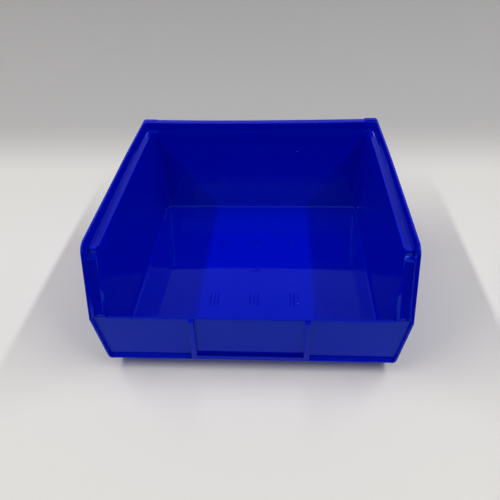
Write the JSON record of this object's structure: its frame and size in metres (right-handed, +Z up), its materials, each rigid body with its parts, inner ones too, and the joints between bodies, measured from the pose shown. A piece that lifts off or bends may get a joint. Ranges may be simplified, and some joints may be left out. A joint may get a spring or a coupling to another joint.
{
  "type": "stackable storage bin",
  "caption": "Shallow wide open-topped plastic bin with a low framed hopper front, inner stacking ledges with stops, raised rim and a rear hanging lip.",
  "frame": {"origin": "middle of the bin's box on the surface it stands on", "axes": "+Z up, +X to the right of a person facing the open hopper front, +Y from the hopper front to the rear wall"},
  "size_m": [0.2794, 0.2762, 0.1272],
  "materials": {
    "bin_plastic": "glossy moulded polypropylene, deep blue"
  },
  "bodies": {
    "root": {"floor": "bin_plastic", "floor_gate": "bin_plastic", "floor_ridges": "bin_plastic", "foot_front": "bin_plastic", "foot_left": "bin_plastic", "foot_rear": "bin_plastic", "foot_right": "bin_plastic", "front_panel": "bin_plastic", "label_lip": "bin_plastic", "left_base_rail": "bin_plastic", "left_front_lip": "bin_plastic", "left_front_stile": "bin_plastic", "left_label_rib": "bin_plastic", "left_rear_tab": "bin_plastic", "left_rim": "bin_plastic", "left_side_wall": "bin_plastic", "left_slope_channel": "bin_plastic", "left_slope_edge": "bin_plastic", "left_stack_stop": "bin_plastic", "left_stacking_ledge": "bin_plastic", "rear_hang_lip": "bin_plastic", "rear_rim": "bin_plastic", "rear_upper_wall": "bin_plastic", "rear_wall": "bin_plastic", "right_base_rail": "bin_plastic", "right_front_lip": "bin_plastic", "right_front_stile": "bin_plastic", "right_label_rib": "bin_plastic", "right_rear_tab": "bin_plastic", "right_rim": "bin_plastic", "right_side_wall": "bin_plastic", "right_slope_channel": "bin_plastic", "right_slope_edge": "bin_plastic", "right_stack_stop": "bin_plastic", "right_stacking_ledge": "bin_plastic"}
  },
  "joints": []
}
